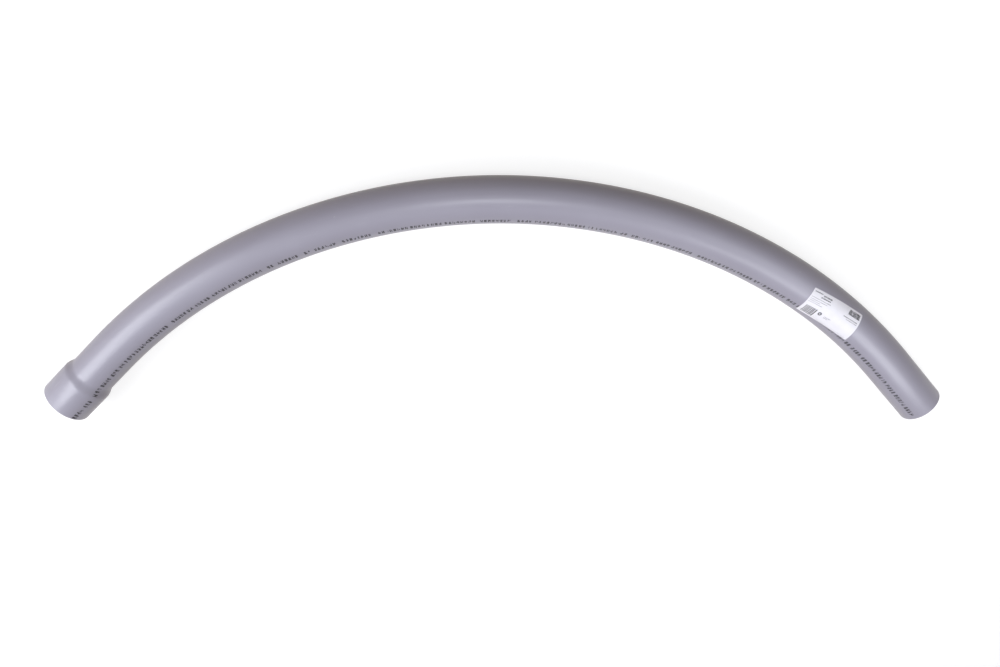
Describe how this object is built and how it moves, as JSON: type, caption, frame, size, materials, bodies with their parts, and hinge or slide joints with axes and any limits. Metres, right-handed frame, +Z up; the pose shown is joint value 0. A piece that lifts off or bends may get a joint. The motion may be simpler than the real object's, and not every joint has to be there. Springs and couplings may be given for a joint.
{
  "type": "pvc conduit elbow",
  "caption": "Rigid grey plastic conduit elbow: a long sweep bend with a plain spigot at one end and a belled socket at the other, used to turn a cable run through a right angle.",
  "frame": {"origin": "on the surface that the elbow lies on, in the middle of its footprint", "axes": "the bend lies flat: +X along the spigot, out of its cut end; -Y out of the socket's mouth; +Z up"},
  "size_m": [1.0576, 1.074, 0.0824],
  "materials": {
    "grey_pvc": "satin, as extruded",
    "label_paper": null
  },
  "bodies": {
    "root": {"elbow_tube": "grey_pvc", "adhesive_label": "label_paper"}
  },
  "joints": []
}
